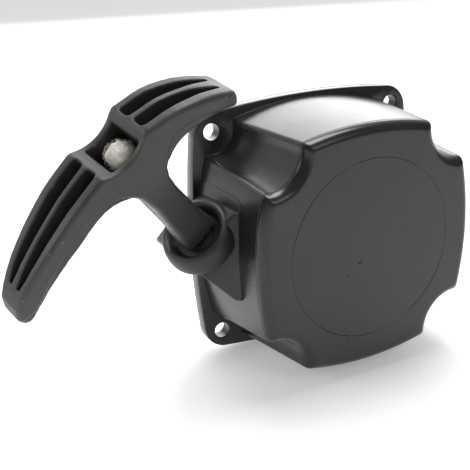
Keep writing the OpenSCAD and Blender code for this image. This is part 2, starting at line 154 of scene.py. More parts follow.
def boolean(ob, tool, op):
    """Join, cut or intersect with a tool object, which is then removed."""
    m = ob.modifiers.new("b", "BOOLEAN")
    m.operation = op
    m.solver = "EXACT"
    m.object = tool
    apply_mods(ob)
    bpy.data.objects.remove(tool)


# ---------------------------------------------------------------- lofted outlines of the housing
N_WALL, N_FIL, N_SCA = 44, 7, 22        # points on a wall, on a corner rounding and on a scallop


def angle(v):
    return math.atan2(v[1], v[0])


def arc(c, r, a1, a2, n):
    """n points on a circle from a1 towards a2, which is left out."""
    return [(c[0] + r * math.cos(q), c[1] + r * math.sin(q)) for q in np.linspace(a1, a2, n, endpoint=False)]


def cup_outline(d, inset, rc=1.7):
    """The cup's closed outline at a depth, set in by inset, with rounded corners (mm, x and z)."""
    wall_c, scallop_c = np.array([CUP_HALF - SIDE_R, 0.0]), np.array([BOLT, BOLT])
    rw = SIDE_R - DRAFT * d / DEPTH - inset
    rs = SCALLOP[0] + (SCALLOP[1] - SCALLOP[0]) * d / DEPTH + inset
    ra, rb = rw - rc, rs + rc
    between = scallop_c - wall_c
    dist = np.hypot(*between)
    x = (dist ** 2 + ra ** 2 - rb ** 2) / (2 * dist)
    y = math.sqrt(max(ra ** 2 - x ** 2, 0))
    e = between / dist
    p = np.array([e[1], -e[0]])
    f = wall_c + e * x + p * y                       # the rounding's centre
    t1 = wall_c + (f - wall_c) * rw / ra             # where it meets the wall
    t2 = scallop_c + (f - scallop_c) * rs / rb       # where it meets the scallop
    phi = angle(t1 - wall_c)
    a1, a2 = angle(t1 - f), angle(t2 - f)
    while a2 < a1:
        a2 += 2 * math.pi
    s1 = angle(t2 - scallop_c)
    if s1 >= 0:
        s1 -= 2 * math.pi
    fm = f[::-1]                                     # the same corner mirrored in the diagonal
    b1, b2 = angle(t2[::-1] - fm), angle(t1[::-1] - fm)
    while b2 < b1:
        b2 += 2 * math.pi
    side = arc(wall_c, rw, -phi, phi, N_WALL) + arc(f, rc, a1, a2, N_FIL)
    side += arc(scallop_c, rs, s1, -1.5 * math.pi - s1, N_SCA) + arc(fm, rc, b1, b2, N_FIL)
    return turn4(np.array(side))


def turn4(side):
    """One side and its three quarter turns."""
    out = []
    for k in range(4):
        c, s = [(1, 0), (0, 1), (-1, 0), (0, -1)][k]
        out.append(np.stack([side[:, 0] * c - side[:, 1] * s, side[:, 0] * s + side[:, 1] * c], 1))
    return np.concatenate(out)


def flange_outline(inset):
    """The bolt flange's closed outline, with bowed sides and round corners."""
    r = CORNER_R - inset
    c = FLANGE_CORNER - CORNER_R
    ys = np.linspace(-c, c, N_WALL, endpoint=False)
    side = [(FLANGE_HALF - inset - FLANGE_BOW * (y / c) ** 2, y) for y in ys]
    n = 2 * N_FIL + N_SCA
    side += arc((c, c), r, 0, math.pi / 2, n)
    return turn4(np.array(side))


def circle_like(outline, r):
    """A circle with one point on the ray of each of the outline's points."""
    a = np.arctan2(outline[:, 1], outline[:, 0])
    return np.stack([np.cos(a), np.sin(a)], 1) * r


def ring_faces(at, n):
    """Faces between rows of n points: at holds each row's first index and its count, 1 for a pole."""
    faces = []
    for (i0, c0), (i1, c1) in zip(at[:-1], at[1:]):
        for k in range(n):
            k2 = (k + 1) % n
            if c0 == 1 and c1 == 1:
                continue
            if c0 == 1:
                faces.append((i0, i1 + k, i1 + k2))
            elif c1 == 1:
                faces.append((i0 + k, i1, i0 + k2))
            else:
                faces.append((i0 + k, i1 + k, i1 + k2, i0 + k2))
    return faces


def loft(name, rings):
    """rings: (outline of n points, depth), or (None, depth) for a closing point on the axis."""
    n = len(next(r[0] for r in rings if r[0] is not None))
    verts, at = [], []
    for o, d in rings:
        if o is None:
            at.append((len(verts), 1))
            verts.append((0, -d, 0))
        else:
            at.append((len(verts), n))
            verts += [(p[0], -d, p[1]) for p in o]
    ob = add_mesh(name, verts, ring_faces(at, n))
    fix_normals(ob)
    return ob


# The housing's skin in one loft: screw hole, post, floor with the case's rib, cavity, flange, cup, front
base = cup_outline(20, 0)
rings = [(None, SCREW_END)]
rings += [(circle_like(base, r), d) for r, d in [
    (SCREW_R - 0.05, SCREW_END), (SCREW_R, SCREW_END), (SCREW_R, POST_REAR + 0.3), (SCREW_R + 0.3, POST_REAR),
    (POST_R - 0.3, POST_REAR), (POST_R, POST_REAR + 0.3), (POST_R, INNER - 1), (POST_R + 0.3, INNER - 0.3),
    (POST_R + 1, INNER), (CASE_R - 0.3, INNER), (CASE_R, INNER - 0.3), (CASE_R, INNER - RIB_H + 0.4),
    (CASE_R + 0.4, INNER - RIB_H), (CASE_R + RIB_T - 0.4, INNER - RIB_H),
    (CASE_R + RIB_T, INNER - RIB_H + 0.4), (CASE_R + RIB_T, INNER - 0.4), (CASE_R + RIB_T + 0.4, INNER)]]
for up, i in [(0, 1.6), (0.5, 0.5), (1.6, 0)]:
    rings.append((cup_outline(INNER - up, WALL + i, INNER_RC), INNER - up))
rings += [(cup_outline(d, WALL, INNER_RC), d) for d in np.linspace(INNER - 4, 0.5, 7)]
rings += [(cup_outline(0, WALL - 0.4, INNER_RC), 0)]
for i, d in [(0.5, 0.0), (0.2, 0.12), (0.0, 0.5), (0.0, FLANGE_T - 0.7), (0.12, FLANGE_T - 0.25),
             (0.6, FLANGE_T)]:
    rings.append((flange_outline(i), d))
rings += [(cup_outline(FLANGE_T, -0.45), FLANGE_T), (cup_outline(FLANGE_T + 0.15, -0.12), FLANGE_T + 0.15),
          (cup_outline(FLANGE_T + 0.6, 0), FLANGE_T + 0.6)]
EDGE_IN, EDGE_DEEP, CREASE = 3.2, 3.9, 0.17      # the front edge's elliptical round and the crease before it
rings += [(cup_outline(d, 0), d) for d in np.linspace(FLANGE_T + 3, DEPTH - EDGE_DEEP - 0.5, 12)]
rings += [(cup_outline(DEPTH - EDGE_DEEP + d, i), DEPTH - EDGE_DEEP + d) for i, d in
          [(0.0, -0.2), (CREASE, -0.09), (CREASE, 0.03), (0.03, 0.16)]]
for q in np.radians(np.arange(6, 91, 6)):
    i, d = EDGE_IN * (1 - math.cos(q)), DEPTH - EDGE_DEEP * (1 - math.sin(q))
    rings.append((cup_outline(d, i), d))
rings.append((cup_outline(DEPTH, EDGE_IN + 0.9), DEPTH))
LINE_R, LINE_HALF, LINE_DEEP = 32.05, 0.13, 0.1  # the fine round line on the front face
rings += [(circle_like(base, r), d) for r, d in [
    (34.0, DEPTH), (LINE_R + LINE_HALF, DEPTH), (LINE_R, DEPTH - LINE_DEEP), (LINE_R - LINE_HALF, DEPTH),
    (26, DEPTH), (16, DEPTH), (6, DEPTH)]]
rings.append((None, DEPTH))
housing = loft("housing_shell", rings)


# ---------------------------------------------------------------- solids of revolution and prisms
def revolve(name, prof, place, n=96):
    """prof: (radius, height) pairs, first and last on the axis; place maps (x, y, z) mm to the CAD frame."""
    turn = [2 * math.pi * k / n for k in range(n)]
    verts, at = [], []
    for r, h in prof:
        if r < 1e-6:
            at.append((len(verts), 1))
            verts.append(place(0, 0, h))
        else:
            at.append((len(verts), n))
            verts += [place(r * math.cos(q), r * math.sin(q), h) for q in turn]
    ob = add_mesh(name, verts, ring_faces(at, n))
    fix_normals(ob)
    return ob


def round_poly(pts, radii, seg=5):
    """Round the corners of a closed polygon, each by its own radius."""
    out = []
    n = len(pts)
    for i in range(n):
        p, a, b = np.array(pts[i], float), np.array(pts[i - 1], float), np.array(pts[(i + 1) % n], float)
        r = radii[i]
        if r <= 0:
            out.append(p)
            continue
        u, v = (a - p) / np.linalg.norm(a - p), (b - p) / np.linalg.norm(b - p)
        h = math.acos(max(-1, min(1, float(u @ v)))) / 2
        t = r / math.tan(h)
        c = p + (u + v) / np.linalg.norm(u + v) * r / math.sin(h)
        p1, p2 = p + u * t, p + v * t
        a1, a2 = angle(p1 - c), angle(p2 - c)
        while a2 - a1 > math.pi:
            a2 -= 2 * math.pi
        while a2 - a1 < -math.pi:
            a2 += 2 * math.pi
        out += [c + r * np.array([math.cos(q), math.sin(q)]) for q in np.linspace(a1, a2, seg)]
    return out


def prism(name, pts, d0, d1, edge_r=0.9):
    """A prism between two depths, its far edge rounded."""
    pts = np.array(pts)
    c = pts.mean(0)
    n = len(pts)
    rows = [(0, d0), (0, d1 - edge_r)]
    for q in np.linspace(0.3, math.pi / 2, 4):
        rows.append((edge_r * (1 - math.cos(q)), d1 - edge_r + edge_r * math.sin(q)))
    t = np.roll(pts, -1, 0) - np.roll(pts, 1, 0)
    t /= np.linalg.norm(t, axis=1)[:, None] + 1e-9
    nrm = np.stack([-t[:, 1], t[:, 0]], 1)
    if ((c - pts) * nrm).sum() < 0:
        nrm = -nrm
    verts, faces = [], []
    for i, d in rows:
        verts += [(q[0], -d, q[1]) for q in pts + nrm * i]
    m = len(rows)
    for a in range(m - 1):
        for k in range(n):
            k2 = (k + 1) % n
            faces.append((a * n + k, (a + 1) * n + k, (a + 1) * n + k2, a * n + k2))
    faces.append(tuple(range(n)))
    faces.append(tuple(range((m - 1) * n, m * n)))
    ob = add_mesh(name, verts, faces)
    fix_normals(ob)
    return ob


# The wedge-shaped block that carries the horn
BLOCK_HIGH, BLOCK_LOW, BLOCK_DEEP, BLOCK_REACH = 17.7, -14.0, 34.0, 13.2
apex = (-(FLANGE_HALF + BLOCK_REACH), 1.5)
root = -(CUP_HALF - WALL - 1.2)
wedge = [(root, BLOCK_HIGH), (-44.6, BLOCK_HIGH), apex, (-45.3, BLOCK_LOW), (root, BLOCK_LOW)]
block_pts = round_poly(wedge, [0, 0.8, 1.3, 2.6, 0])
block = prism("block", block_pts, 0.0, BLOCK_DEEP, 0.1)


def slab(name, pts, place, t0, t1):
    """A flat-ended prism: pts in a plane, place maps (a, b, t) mm to the CAD frame."""
    n = len(pts)
    V = [place(a, b, t) for t in (t0, t1) for a, b in pts]
    F = [tuple(range(n)), tuple(range(n, 2 * n))]
    F += [(k, (k + 1) % n, n + (k + 1) % n, n + k) for k in range(n)]
    ob = add_mesh(name, V, F)
    fix_normals(ob)
    return ob


# The block's front face draws back outwards, so the horn's collar stands clear of it
FACE_Y, TAPER_FROM, TAPER_RUN, TAPER_SLOPE = -33.0, -43.9, 22.1, 0.49
PAST_X, PAST_Y, BEHIND_X = -66.0, -40.0, -36.0
cut_pts = [(TAPER_FROM, FACE_Y), (PAST_X, FACE_Y + TAPER_SLOPE * TAPER_RUN), (PAST_X, PAST_Y),
           (BEHIND_X, PAST_Y), (BEHIND_X, FACE_Y)]
boolean(block, slab("taper", cut_pts, lambda a, b, t: (a, b, t), -30, 30), "DIFFERENCE")
bv = block.modifiers.new("v", "BEVEL")
BEVEL_M = 0.0006
bv.width, bv.segments, bv.limit_method, bv.angle_limit = BEVEL_M, 3, "ANGLE", math.radians(40)
apply_mods(block)

# The horn: a collar, a flared bell and a dished face, round a throat that holds the eyelet
# The dished face inside the rim: radius and height along the rope
DISH = [(10.2, -0.16), (9.6, -0.7), (9.1, -1.5), (8.75, -2.5), (8.45, -3.2), (8.0, -3.6)]
RIM_R, FLARE, FLARE_DEEP = 10.7, 2.5, 6.4        # the horn's rim, and the flare of its outside behind it
turn = np.linspace(0, math.pi / 2, 12)
bell = [(RIM_R + FLARE * math.sin(q), -FLARE_DEEP * (1 - math.cos(q))) for q in turn]
collar = [(0, -14), (10, -14), (10, -9.2), (10.4, -8.9), (12.2, -8.5), (12.9, -7.6)]
horn = revolve("bell", collar + bell[::-1] + DISH + [(0, -3.6)], pull)

# A flat pad beside the horn, standing a little proud of the drafted wall
PAD_PROUD = 0.16
pad_pts = round_poly([(-2.0, 22.6), (-33.1, 21.5), (-32.2, -6.0), (-2.0, -6.0)], [0, 2.0, 1.0, 0])
pad = slab("pad", pad_pts, lambda a, b, t: (t, a, b), -52.0, root)
proud = [(cup_outline(d, -PAD_PROUD), d) for d in (3.0, 14, 25, 36)]
skin = loft("skin", [(None, 3.0)] + proud + [(None, 36.0)])
boolean(pad, skin, "INTERSECT")
boolean(housing, pad, "UNION")
boolean(housing, block, "UNION")
boolean(housing, horn, "UNION")
# The bore is cut a hair wider than the dish, so that no two faces coincide
throat = [(5.6, -3.605), (5.6, -4.6), (3.6, -4.6), (3.6, -12.6), (2.6, -12.6), (7, -26.6), (0, -26.6)]
bore = revolve("bore", [(0, 6), (RIM_R, 6), (RIM_R, 0)] + [(r + 0.005, h) for r, h in DISH] + throat, pull)
boolean(housing, bore, "DIFFERENCE")

# The inner wall is cleared again where the block ran through it
CLEAR_TO = INNER - 6
cleared = [(cup_outline(d, WALL + 0.02, INNER_RC), d) for d in (1.0, 12, 24, CLEAR_TO)]
inner_cut = loft("inner_cut", [(None, 1.0)] + cleared + [(None, CLEAR_TO)])
post_prof = [(0, 0.5), (POST_R + 2, 0.5), (POST_R + 2, INNER), (0, INNER)]
post = revolve("post_cut", post_prof, lambda x, y, z: (x, -z, y))
boolean(inner_cut, post, "DIFFERENCE")
boolean(housing, inner_cut, "DIFFERENCE")

# The four bolt holes, with a broken edge at both ends
hole_prof = [(0, -1), (HOLE_R + 1.4, -1), (HOLE_R, 0.4), (HOLE_R, FLANGE_T - 0.35),
             (HOLE_R + 0.35, FLANGE_T), (HOLE_R + 0.4, FLANGE_T + 0.4), (0, FLANGE_T + 0.4)]
for sx in (-1, 1):
    for sz in (-1, 1):
        tool = revolve("hole", hole_prof,
                       lambda x, y, z, sx=sx, sz=sz: (sx * BOLT + x, -z, sz * BOLT + y), 64)
        boolean(housing, tool, "DIFFERENCE")

# The gate's mark and two smaller pits on the front face: x, z, radius, depth
for gx, gz, gr, deep in ((-5.2, -3.3, 1.0, 0.25), (-10.5, -7.5, 0.55, 0.18), (-9.9, -31.3, 0.5, 0.12)):
    pit = revolve("pit", [(0, -1), (gr, -1), (gr, 0.0), (gr * 0.75, deep), (0, deep)],
                  lambda x, y, z, gx=gx, gz=gz: (gx + x, -DEPTH + z, gz + y), 24)
    boolean(housing, pit, "DIFFERENCE")
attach(housing, "housing")
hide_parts("housing")
smooth(housing.data)
housing.data.set_sharp_from_angle(angle=math.radians(28))


# ---------------------------------------------------------------- handle: a distance field, then surface nets
def poly_sdf(pts, X, Y):
    """Signed distance to a closed polygon on a 2D grid, negative inside."""
    pts = np.asarray(pts, float)
    d2 = np.full(X.shape, 1e18)
    inside = np.zeros(X.shape, bool)
    for (x0, y0), (x1, y1) in zip(pts, np.roll(pts, -1, 0)):
        ex, ey = x1 - x0, y1 - y0
        t = np.clip(((X - x0) * ex + (Y - y0) * ey) / (ex * ex + ey * ey + 1e-12), 0, 1)
        d2 = np.minimum(d2, (X - x0 - t * ex) ** 2 + (Y - y0 - t * ey) ** 2)
        if y0 != y1:
            hit = ((y0 > Y) != (y1 > Y)) & (X < (x1 - x0) * (Y - y0) / (y1 - y0) + x0)
            inside ^= hit
    return np.where(inside, -1, 1) * np.sqrt(d2)


def rmax(a, b, r):
    """Intersection with a true round edge of radius r."""
    return np.minimum(np.maximum(a, b), -r) + np.sqrt(np.maximum(a + r, 0) ** 2 + np.maximum(b + r, 0) ** 2)


def rcut(a, b, r):
    """a less b, with the edge rounded by r."""
    return rmax(a, -b, r)


def surface_nets(F, axes):
    """Points and quads of the surface F = 0: one point in each grid cell that the surface crosses."""
    s = F < 0
    c = np.zeros(tuple(n - 1 for n in F.shape), np.int8)
    sl = [slice(0, -1), slice(1, None)]
    for i in range(2):
        for j in range(2):
            for k in range(2):
                c += s[sl[i], sl[j], sl[k]]
    act = (c > 0) & (c < 8)
    I, J, K = np.nonzero(act)
    idx = np.full(act.shape, -1, np.int64)
    idx[I, J, K] = np.arange(len(I))
    P = np.zeros((len(I), 3))
    C = np.zeros(len(I))
    base_ijk = (I, J, K)
    for ax in range(3):
        o1, o2 = [a for a in range(3) if a != ax]
        for p in range(2):
            for q in range(2):
                off = [0, 0, 0]
                off[o1], off[o2] = p, q
                a = tuple(base_ijk[t] + off[t] for t in range(3))
                off[ax] = 1
                b = tuple(base_ijk[t] + off[t] for t in range(3))
                fa, fb = F[a], F[b]
                m = (fa < 0) != (fb < 0)
                t = fa[m] / (fa[m] - fb[m])
                P[m, ax] += t
                P[m, o1] += p
                P[m, o2] += q
                C[m] += 1
    P /= C[:, None]
    h = [axes[t][1] - axes[t][0] for t in range(3)]
    V = np.stack([axes[t][0] + (base_ijk[t] + P[:, t]) * h[t] for t in range(3)], 1)
    quads = []
    for ax in range(3):
        o1, o2 = [(1, 2), (2, 0), (0, 1)][ax]
        a = [slice(1, -1)] * 3
        b = [slice(1, -1)] * 3
        a[ax], b[ax] = slice(0, -1), slice(1, None)
        sa, sb = s[tuple(a)], s[tuple(b)]
        e = np.nonzero(sa != sb)
        g = [e[t] + (0 if t == ax else 1) for t in range(3)]

        def cell(d1, d2):
            q = [g[0].copy(), g[1].copy(), g[2].copy()]
            q[o1] = q[o1] - d1
            q[o2] = q[o2] - d2
            return idx[q[0], q[1], q[2]]

        Q = np.stack([cell(1, 1), cell(0, 1), cell(0, 0), cell(1, 0)], 1)
        flip = sb[e]
        Q[flip] = Q[flip][:, ::-1]
        quads.append(Q)
    Q = np.concatenate(quads)
    return V, Q[(Q >= 0).all(1)]


# The handle's outline as (w, s) points in mm from its own origin
SHORT_TOP = [(9.3, 56.8), (13, 55.6), (16, 54.7), (19, 53.5), (22, 51.8), (25, 49.8), (28, 47.6),
             (31, 44.9), (34, 41.8), (36.9, 38.4)]
SHORT_UNDER = [(37.6, 37.2), (37.4, 35.2), (36.2, 33.8), (34.7, 33.5), (29.2, 38.3), (23.9, 41.1),
               (19.1, 42.9), (15.6, 43.5), (13.3, 43.4), (11, 42.8), (8.6, 41.6), (6.6, 39.9),
               (5.3, 36.8)]
LONG_TOP = [(-54.9, 41.2), (-53, 44.4), (-50, 46.4), (-46, 48.5), (-42, 50.3), (-38, 51.7), (-34, 53),
            (-30, 54.1), (-26, 55.1), (-22, 56.1), (-18, 56.7), (-14, 57.1), (-9.6, 57.5)]
LONG_UNDER = [(-5.5, 39.5), (-7.2, 42.4), (-9.6, 44.6), (-12.4, 46.2), (-15.4, 47), (-18.5, 47),
              (-22.4, 46.4), (-27.5, 45.2), (-32.1, 44.4), (-37.2, 42.9), (-42.2, 41.3), (-46.4, 39.3),
              (-49.5, 37.9), (-51.4, 36.9), (-53.2, 36.5), (-54.8, 37.5), (-55.2, 39.4)]
STEM = [(4.9, 30), (5.3, 20), (5.7, 10), (6.3, 5.5), (6.7, 2.2), (6.7, 0.9), (6.2, 0.1), (5.4, -0.2)]
outline = [(0, 57)] + SHORT_TOP + SHORT_UNDER + STEM
outline += [(-w, s) for w, s in STEM[::-1]] + LONG_UNDER + LONG_TOP
VOX = 0.32                            # grid step, mm
gw = np.arange(-58, 41, VOX)
gn = np.arange(-11, 11 + VOX, VOX)
gs = np.arange(-5, 60, VOX)
Wg, Sg = np.meshgrid(gw, gs, indexing="ij")
side = poly_sdf(outline, Wg, Sg)
for _ in range(2):                    # soften the polygon's corners a little
    around = side[:-2, 1:-1] + side[2:, 1:-1] + side[1:-1, :-2] + side[1:-1, 2:]
    side[1:-1, 1:-1] = (side[1:-1, 1:-1] * 4 + around) / 8


def smooth01(t):
    t = np.clip(t, 0, 1)
    return t * t * (3 - 2 * t)


def along(w, pts):
    """The s of a line of (w, s) points at each w."""
    p = np.array(sorted(pts))
    return np.interp(w, p[:, 0], p[:, 1])


# Half thickness: by the plan (middle to tips) and by the height (stem to grip)
SHORT_PLAN = [(0, 9.3), (9, 9.4), (16, 9.5), (22, 9.5), (25, 9.3), (28, 9), (31, 8.5), (34, 8),
              (37, 7.1), (38, 6.6)]
LONG_PLAN = [(0, 9.3), (9, 9.3), (18, 9.2), (22, 9.05), (26, 8.85), (30, 8.55), (34, 8.2), (38, 7.7),
             (42, 7.2), (46, 6.6), (50, 5.9), (53, 5.3), (55, 4.8)]
STEM_N, SWELL_N = 4.6, 4.6            # the stem's half thickness and what the grip adds to it
plan = np.where(Wg > 0, along(Wg, SHORT_PLAN), along(-Wg, LONG_PLAN))
rise_n = STEM_N + SWELL_N * smooth01((Sg - 5) / 39)
half = np.minimum(plan, rise_n + SWELL_N * smooth01((np.abs(Wg) - 8) / 5))
# The parting line, below which the moulding is a little thinner
PART_STEP = 0.5
PART = [(-49, 39.9), (-46.9, 41.2), (-40.4, 44.6), (-34.4, 47.4), (-29.3, 48.9), (-24.6, 49.9), (-19.8, 50.6),
        (-15.8, 50.4), (-12.2, 49.5), (-9.5, 47.5), (-6, 43), (0, 40), (6, 41), (9.1, 44.6),
        (10.6, 46.4), (12.7, 47.8), (15.4, 47.9), (18.3, 47.1), (21.9, 45.7), (25.2, 43.6), (28.2, 41.1),
        (31, 37.8)]
line = along(Wg, PART)
below = smooth01((line - Sg) / 0.35 + 0.5)
half = half - PART_STEP * below * smooth01((np.abs(Wg) - 5.5) / 1.5)
Wg3, Ng3, Sg3 = np.meshgrid(gw, gn, gs, indexing="ij")
thick = np.abs(Ng3) - half[:, None, :]
GRIP_ROUND = 1.7
F = rmax(np.broadcast_to(side[:, None, :], thick.shape), thick, GRIP_ROUND)
# Arches over the pocket on both broad faces
ARCH_R, ARCH_LOW = 12.4, 53.5
arch = np.hypot(Wg3 + 0.1, Sg3 - (ARCH_LOW + ARCH_R)) - ARCH_R
F = rcut(F, arch, 0.7)
# The knot's pocket
POCKET_W, POCKET_N, POCKET_RC, POCKET_FLOOR = 5.9, 6.9, 0.8, 44.0
px, py = np.abs(Wg3) - POCKET_W, np.abs(Ng3) - POCKET_N
rounded = np.hypot(np.maximum(px + POCKET_RC, 0), np.maximum(py + POCKET_RC, 0)) - POCKET_RC
pocket = np.minimum(np.maximum(px, py), 0) + rounded
pocket = np.maximum(np.maximum(px, py), pocket)
pocket = np.maximum(pocket, POCKET_FLOOR - Sg3)
F = rcut(F, pocket, 0.55)
# The rope's hole through the stem, on the rope's own line
STEM_HOLE_R = 2.2
F = np.maximum(F, -(np.hypot(Wg3 + GRIP_OFF[0], Ng3 + GRIP_OFF[1]) - STEM_HOLE_R))
# Two slots along each wing: (w, n) outline and the rounding at each of its points
SLOT_DEEP = 5.5
topline = along(Wg, SHORT_TOP + LONG_TOP)
depth3 = (topline[:, None, :] - SLOT_DEEP) - Sg3
SHORT_SLOT = [(9.4, 1.0), (9.2, 5.9), (14, 6.05), (19, 5.95), (25, 5.35), (28.7, 4.7), (32, 4.0),
              (34.9, 3.2), (34.6, 2.2), (32, 1.8), (28, 1.2), (24, 1.0), (15, 0.95)]
LONG_SLOT = [(9.2, 1.0), (9.0, 5.6), (15, 5.75), (20, 5.6), (26, 5.2), (32, 4.85), (38, 4.5),
             (44, 3.85), (47.9, 2.7), (47.9, 1.3), (44, 0.95), (34, 0.85), (20, 0.85)]
SLOTS = {1: (SHORT_SLOT, [1.3, 1.4, 0, 0, 0, 0, 0, 0.35, 0.3, 0, 0, 0, 0]),
         -1: (LONG_SLOT, [1.2, 1.3, 0, 0, 0, 0, 0, 0, 0.5, 0.4, 0, 0, 0])}
Wn, Nn = np.meshgrid(gw, gn, indexing="ij")
for sgn, (pts, radii) in SLOTS.items():
    ring = round_poly(pts, radii, 7)
    for m in (-1, 1):
        plan_sdf = poly_sdf(ring, sgn * Wn, m * Nn)
        F = rcut(F, np.maximum(plan_sdf[:, :, None], depth3), 0.4)
V, Q = surface_nets(F, (gw, gn, gs))
V = GRIP + V[:, :1] * W + V[:, 1:2] * N + V[:, 2:3] * S
handle = add_mesh("handle_skin", V, Q)
fix_normals(handle)
sm = handle.modifiers.new("s", "SMOOTH")
sm.factor, sm.iterations = 0.5, 2
apply_mods(handle)
smooth(handle.data)
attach(handle, "handle")
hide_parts("handle")


# ---------------------------------------------------------------- rope
def resample(pts, step, least):
    """The path in even steps (mm), and the distance along it at each point."""
    pts = np.asarray(pts, float)
    d = np.r_[0, np.cumsum(np.linalg.norm(np.diff(pts, axis=0), axis=1))]
    q = np.linspace(0, d[-1], max(int(d[-1] / step), least))
    return np.stack([np.interp(q, d, pts[:, k]) for k in range(3)], 1), q


def tube(name, pts, r, sides):
    """A capped tube along a path: r is one radius, or one for each point and side."""
    t = np.gradient(pts, axis=0)
    t /= np.linalg.norm(t, axis=1)[:, None]
    u = np.zeros_like(pts)
    a = np.array([0.31, 0.2, 0.93])              # any direction that is not along the path's start
    v = a - t[0] * (a @ t[0])
    u[0] = v / np.linalg.norm(v)
    for i in range(1, len(pts)):
        v = u[i - 1] - t[i] * (u[i - 1] @ t[i])
        u[i] = v / np.linalg.norm(v)
    v = np.cross(t, u)
    a = np.linspace(0, 2 * math.pi, sides, endpoint=False)
    across = u[:, None] * np.cos(a)[None, :, None] + v[:, None] * np.sin(a)[None, :, None]
    V = (pts[:, None] + across * r).reshape(-1, 3)
    n = len(pts)
    F = [(i * sides + k, i * sides + (k + 1) % sides, (i + 1) * sides + (k + 1) % sides, (i + 1) * sides + k)
         for i in range(n - 1) for k in range(sides)]
    F += [tuple(range(sides))[::-1], tuple((n - 1) * sides + k for k in range(sides))]
    ob = add_mesh(name, V, F)
    fix_normals(ob)
    return ob


def braid(name, pts, r, sides=24, pitch=7.0, strands=4, amp=0.16, step=0.35):
    """A braided rope: a tube whose surface bumps where two sets of helical strands cross."""
    pts, q = resample(pts, step, 8)
    for _ in range(6):
        pts[1:-1] = (pts[:-2] + 2 * pts[1:-1] + pts[2:]) / 4
    a = np.linspace(0, 2 * math.pi, sides, endpoint=False)
    ph = 2 * math.pi * q[:, None] / pitch
    s1 = np.cos(strands * (a[None] - ph))
    s2 = np.cos(strands * (a[None] + ph))
    rr = r - amp + amp * np.maximum(s1, s2)
    cap = np.ones(len(pts))
    cap[:2] = cap[-2:] = 0.86
    rr = rr * cap[:, None]
    return tube(name, pts, rr[..., None], sides)


def knot_path(R):
    """An overhand knot drawn up tight: a closed trefoil-like path."""
    q = np.linspace(0, 2 * math.pi, 160)
    x = (np.sin(q) + 2 * np.sin(2 * q)) / 3
    y = (np.cos(q) - 2 * np.cos(2 * q)) / 3
    z = -np.sin(3 * q) * 0.42
    return np.stack([x * R, y * R, z * R * 1.3], 1)


lo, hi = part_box("handle_knot")
KNOT_OFF, KNOT_GROW, KNOT_ROPE_R = (0.4, -0.5, -0.5), 0.25, 1.95      # drawn a little larger and off centre
KC = np.array([(lo[i] + hi[i]) / 2 for i in range(3)]) / MM
KC = KC + W * KNOT_OFF[0] + N * KNOT_OFF[1] + S * KNOT_OFF[2]
KR = (hi[0] - lo[0]) / 2 / MM + KNOT_GROW
kp = knot_path(KR * 0.56)
kp = KC + kp[:, :1] * W + kp[:, 1:2] * N + kp[:, 2:3] * S
knot = braid("handle_knot_rope", kp, KNOT_ROPE_R, 20, 6.0, 4, 0.2)
CORE_R = KR * 0.86                    # a filling core, so that no light shows through the knot
core_prof = [(CORE_R * math.cos(q), CORE_R * math.sin(q)) for q in np.linspace(-1.3, 1.3, 15)]
core_prof = [(0, -CORE_R)] + core_prof + [(0, CORE_R)]
core = revolve("knot_core", core_prof, lambda x, y, z: KC + W * x + N * y + S * z, 40)
bm = bmesh.new()
bm.from_mesh(core.data)
for v in bm.verts:
    p = np.array(v.co) / MM - KC
    a = math.atan2(p @ N, p @ W)
    k = 1 + 0.05 * math.sin(3 * a + p @ S * 1.1) + 0.035 * math.sin(7 * a - p @ S * 2.3)
    v.co = Vector(tuple((KC + p * k) * MM))
bm.to_mesh(core.data)
bm.free()


def join(obs, name):
    """Join objects into the first and name it."""
    bpy.ops.object.select_all(action="DESELECT")
    for o in obs:
        o.select_set(True)
    bpy.context.view_layer.objects.active = obs[0]
    bpy.ops.object.join()
    obs[0].name = name
    obs[0].data.name = name
    return obs[0]


def fuzz(name, centre, R, n, seed, length=(0.5, 1.5), th=0.045):
    """Loose fibres standing off a rope's surface, each a thin tapering triangle-section thread."""
    rg = np.random.RandomState(seed)
    V, F = [], []
    for _ in range(n):
        d = rg.normal(size=3)
        d /= np.linalg.norm(d)
        if d @ S < -0.55:
            continue
        side_v = np.cross(d, rg.normal(size=3))
        side_v /= np.linalg.norm(side_v)
        L = rg.uniform(*length)
        p0 = centre + d * R * 0.94
        p1 = p0 + (d * 0.35 + side_v * 0.6) * L * 0.5
        p2 = p0 + (d * 0.42 + side_v * 1.1) * L
        b = len(V)
        for p, r in ((p0, th), (p1, th * 0.8), (p2, th * 0.3)):
            e1 = np.cross(side_v, d)
            for k in range(3):
                q = 2 * math.pi * k / 3
                V.append(p + (d * math.cos(q) + e1 * math.sin(q)) * r)
        for row in range(2):
            for k in range(3):
                k2 = (k + 1) % 3
                near, far = b + row * 3, b + (row + 1) * 3
                F.append((near + k, near + k2, far + k2, far + k))
        F.append((b, b + 2, b + 1))
        F.append((b + 6, b + 7, b + 8))
    return add_mesh(name, V, F)


hair = fuzz("knot_fuzz", KC, KR, 420, 7)
knot = join([knot, core, hair], "handle_knot_rope")
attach(knot, "rope_end")
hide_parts("handle_knot")

